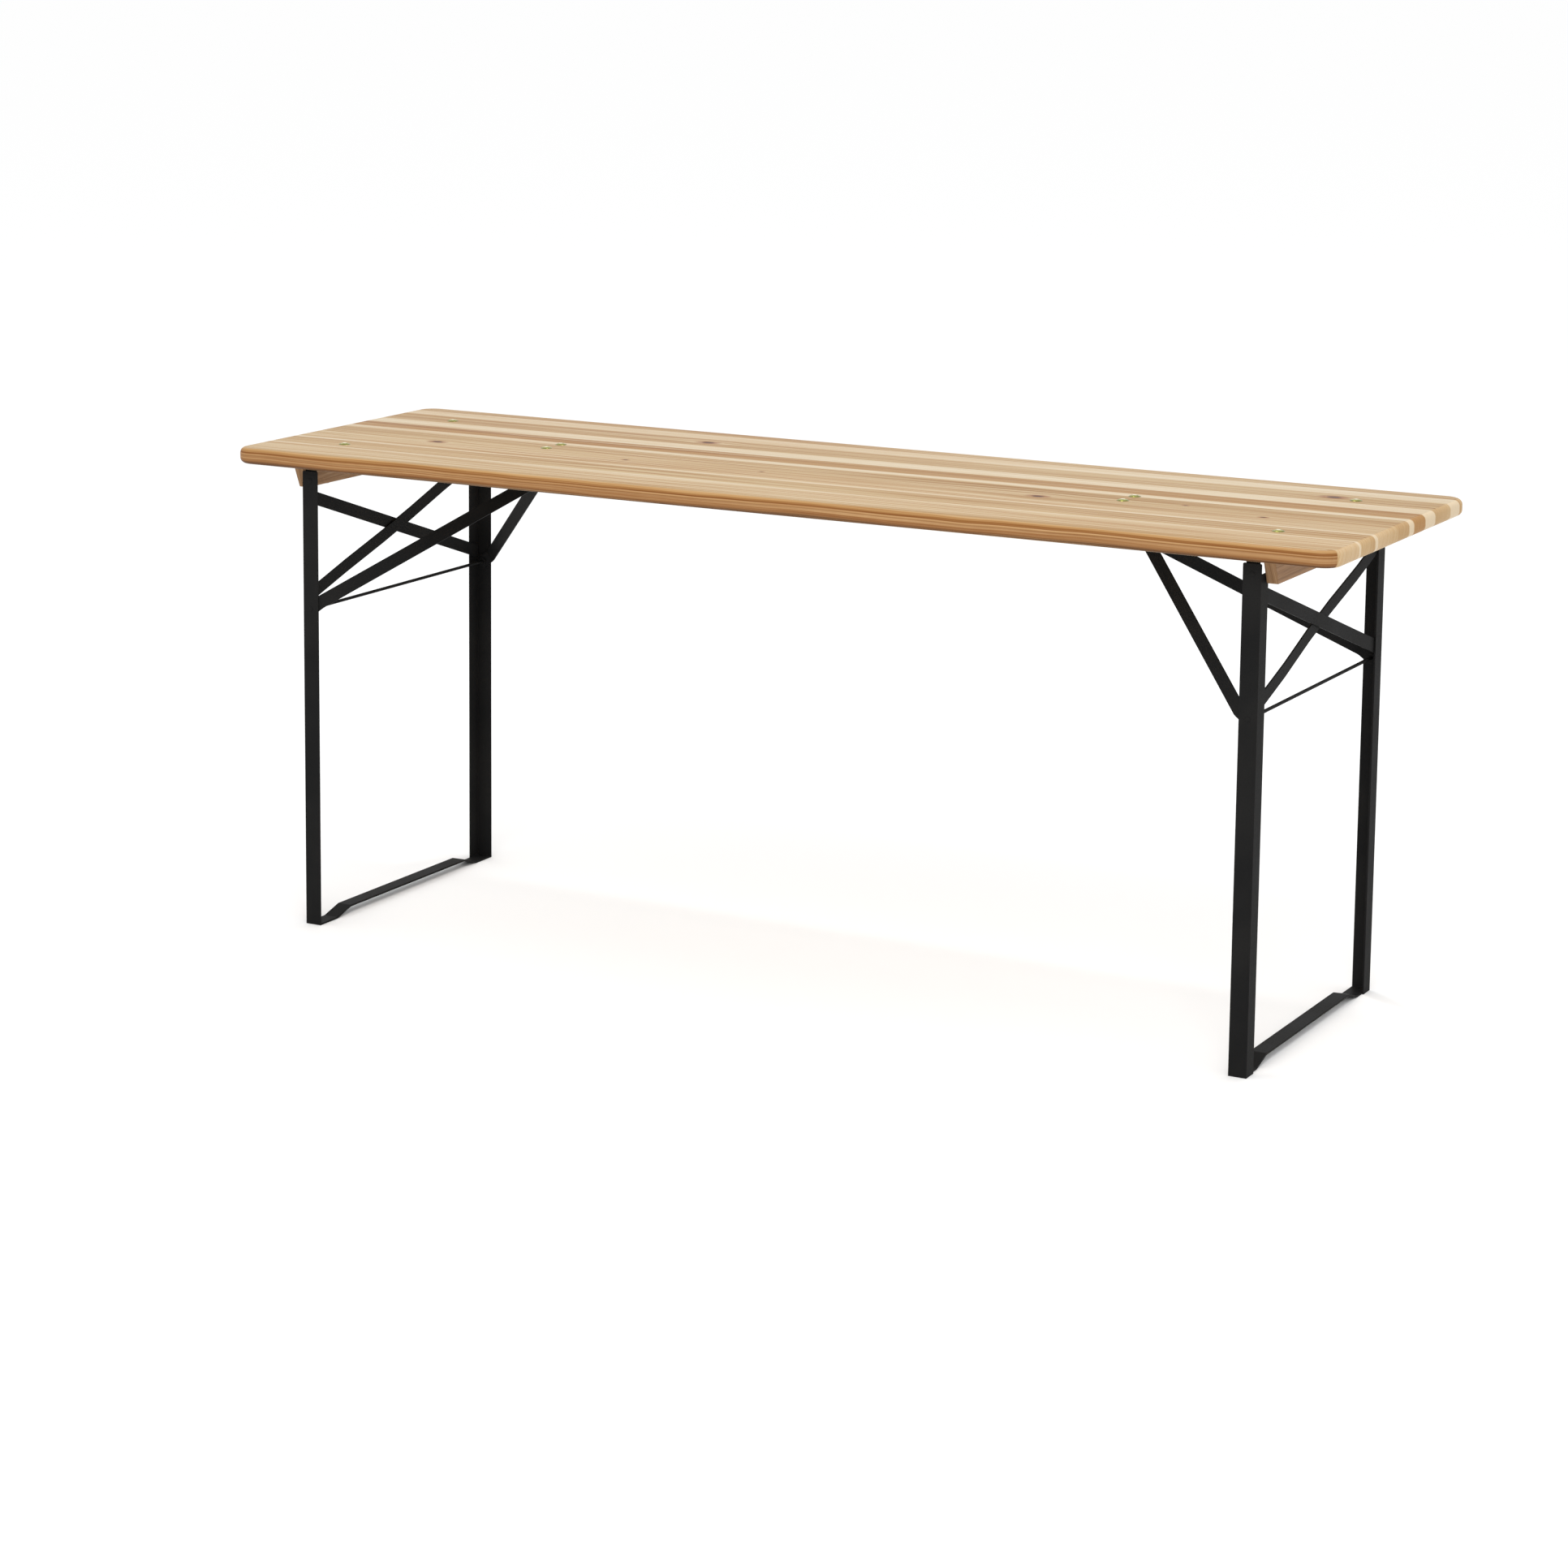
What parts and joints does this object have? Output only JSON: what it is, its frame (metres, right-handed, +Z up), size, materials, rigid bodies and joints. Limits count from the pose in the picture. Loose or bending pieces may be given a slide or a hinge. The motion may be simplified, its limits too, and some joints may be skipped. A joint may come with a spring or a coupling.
{
  "type": "folding table",
  "caption": "Folding table with a laminated wooden top on two fold-flat steel leg frames, each held open by a V-shaped strut in a catch.",
  "frame": {"origin": "on the floor, under the middle of the table", "axes": "+Z up, +X along the table's length, +Y across it towards the back"},
  "size_m": [1.8, 0.55, 0.7525],
  "materials": {
    "pine_top": "satin varnish",
    "pine_batten": "bare planed",
    "black_steel": "satin powder coat",
    "brass_plated": "satin",
    "zinc_steel": "zinc plated"
  },
  "bodies": {
    "top": {"table_top": "pine_top", "left_batten": "pine_batten", "left_hinge_bar": "black_steel", "left_strut_catch": "black_steel", "left_catch_spring": "zinc_steel", "left_front_hinge_bolt": "brass_plated", "left_front_hinge_nut": "zinc_steel", "left_front_catch_bolt": "brass_plated", "left_front_catch_nut": "zinc_steel", "left_front_batten_screw": "zinc_steel", "left_front_fold_rivet": "black_steel", "left_back_hinge_bolt": "brass_plated", "left_back_hinge_nut": "zinc_steel", "left_back_catch_bolt": "brass_plated", "left_back_catch_nut": "zinc_steel", "left_back_batten_screw": "zinc_steel", "left_back_fold_rivet": "black_steel", "right_batten": "pine_batten", "right_hinge_bar": "black_steel", "right_strut_catch": "black_steel", "right_catch_spring": "zinc_steel", "right_front_hinge_bolt": "brass_plated", "right_front_hinge_nut": "zinc_steel", "right_front_catch_bolt": "brass_plated", "right_front_catch_nut": "zinc_steel", "right_front_batten_screw": "zinc_steel", "right_front_fold_rivet": "black_steel", "right_back_hinge_bolt": "brass_plated", "right_back_hinge_nut": "zinc_steel", "right_back_catch_bolt": "brass_plated", "right_back_catch_nut": "zinc_steel", "right_back_batten_screw": "zinc_steel", "right_back_fold_rivet": "black_steel"},
    "left_leg_frame": {"left_front_leg": "black_steel", "left_front_strut_washer": "black_steel", "left_back_leg": "black_steel", "left_back_strut_washer": "black_steel", "left_foot_strip": "black_steel", "left_straight_brace": "black_steel", "left_stepped_brace": "black_steel", "left_strut_rod": "black_steel"},
    "right_leg_frame": {"right_front_leg": "black_steel", "right_front_strut_washer": "black_steel", "right_back_leg": "black_steel", "right_back_strut_washer": "black_steel", "right_foot_strip": "black_steel", "right_straight_brace": "black_steel", "right_stepped_brace": "black_steel", "right_strut_rod": "black_steel"},
    "left_strut": {"left_front_strut_arm": "black_steel", "left_back_strut_arm": "black_steel", "left_strut_pin": "black_steel"},
    "right_strut": {"right_front_strut_arm": "black_steel", "right_back_strut_arm": "black_steel", "right_strut_pin": "black_steel"}
  },
  "joints": [
    {"name": "left_leg_fold", "type": "hinge", "parent": "top", "child": "left_leg_frame", "pos_m": [-0.7725, 0, 0.705], "axis": [0, -1, 0], "range_deg": [0, 90], "deforming": ["left_catch_spring"]},
    {"name": "left_strut_fold", "type": "hinge", "parent": "left_leg_frame", "child": "left_strut", "pos_m": [-0.7725, 0, 0.504], "axis": [0, 1, 0], "range_deg": [0, 126.37]},
    {"name": "right_leg_fold", "type": "hinge", "parent": "top", "child": "right_leg_frame", "pos_m": [0.7725, 0, 0.705], "axis": [0, 1, 0], "range_deg": [0, 90], "deforming": ["right_catch_spring"]},
    {"name": "right_strut_fold", "type": "hinge", "parent": "right_leg_frame", "child": "right_strut", "pos_m": [0.7725, 0, 0.504], "axis": [0, -1, 0], "range_deg": [0, 126.37]}
  ],
  "couplings": [
    {"joint": "left_strut_fold", "follows": "left_leg_fold", "ratio": 1.404},
    {"joint": "right_strut_fold", "follows": "right_leg_fold", "ratio": 1.404}
  ]
}
